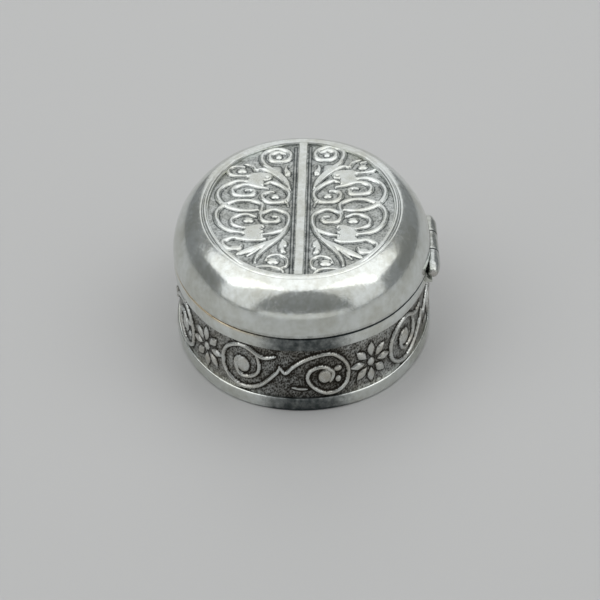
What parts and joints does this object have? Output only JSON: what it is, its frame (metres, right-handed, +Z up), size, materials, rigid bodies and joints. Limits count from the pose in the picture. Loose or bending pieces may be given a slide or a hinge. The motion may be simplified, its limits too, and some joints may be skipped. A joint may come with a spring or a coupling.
{
  "type": "pill box",
  "caption": "Small oval pill box with a drum-shaped base, a recessed frieze and a domed lid with a scrollwork medallion, opening on a barrel hinge.",
  "frame": {"origin": "centre of the flat underside, on the surface that the box stands on", "axes": "+X along the hinge and the box's longer side, +Y towards the hinge (the lid opens from -Y), +Z up"},
  "size_m": [0.0354, 0.0309, 0.0162],
  "materials": {
    "silver": "polished silver with fine wear scratches",
    "oxidised": "die-struck silver relief, dark in the ground and worn bright on top",
    "gilt": "gold-washed silver",
    "pin": "drawn wire, peened ends"
  },
  "bodies": {
    "base": {"base_plate": "silver", "foot_rim": "silver", "frieze_band": "oxidised", "top_rim": "silver", "inner_cup": "gilt", "bezel_ring": "gilt", "base_bearers": "silver", "base_knuckle_left": "silver", "base_knuckle_right": "silver", "hinge_pin": "pin"},
    "lid": {"lid_rim": "silver", "lid_dome": "silver", "lid_lining": "gilt", "panel_front": "oxidised", "panel_back": "oxidised", "centre_band": "silver", "bead_front": "silver", "bead_back": "silver", "lid_knuckle": "silver"}
  },
  "joints": [
    {"name": "lid_hinge", "type": "hinge", "parent": "base", "child": "lid", "pos_m": [0, 0.015, 0.0101], "axis": [-1, 0, 0], "range_deg": [0, 110]}
  ]
}
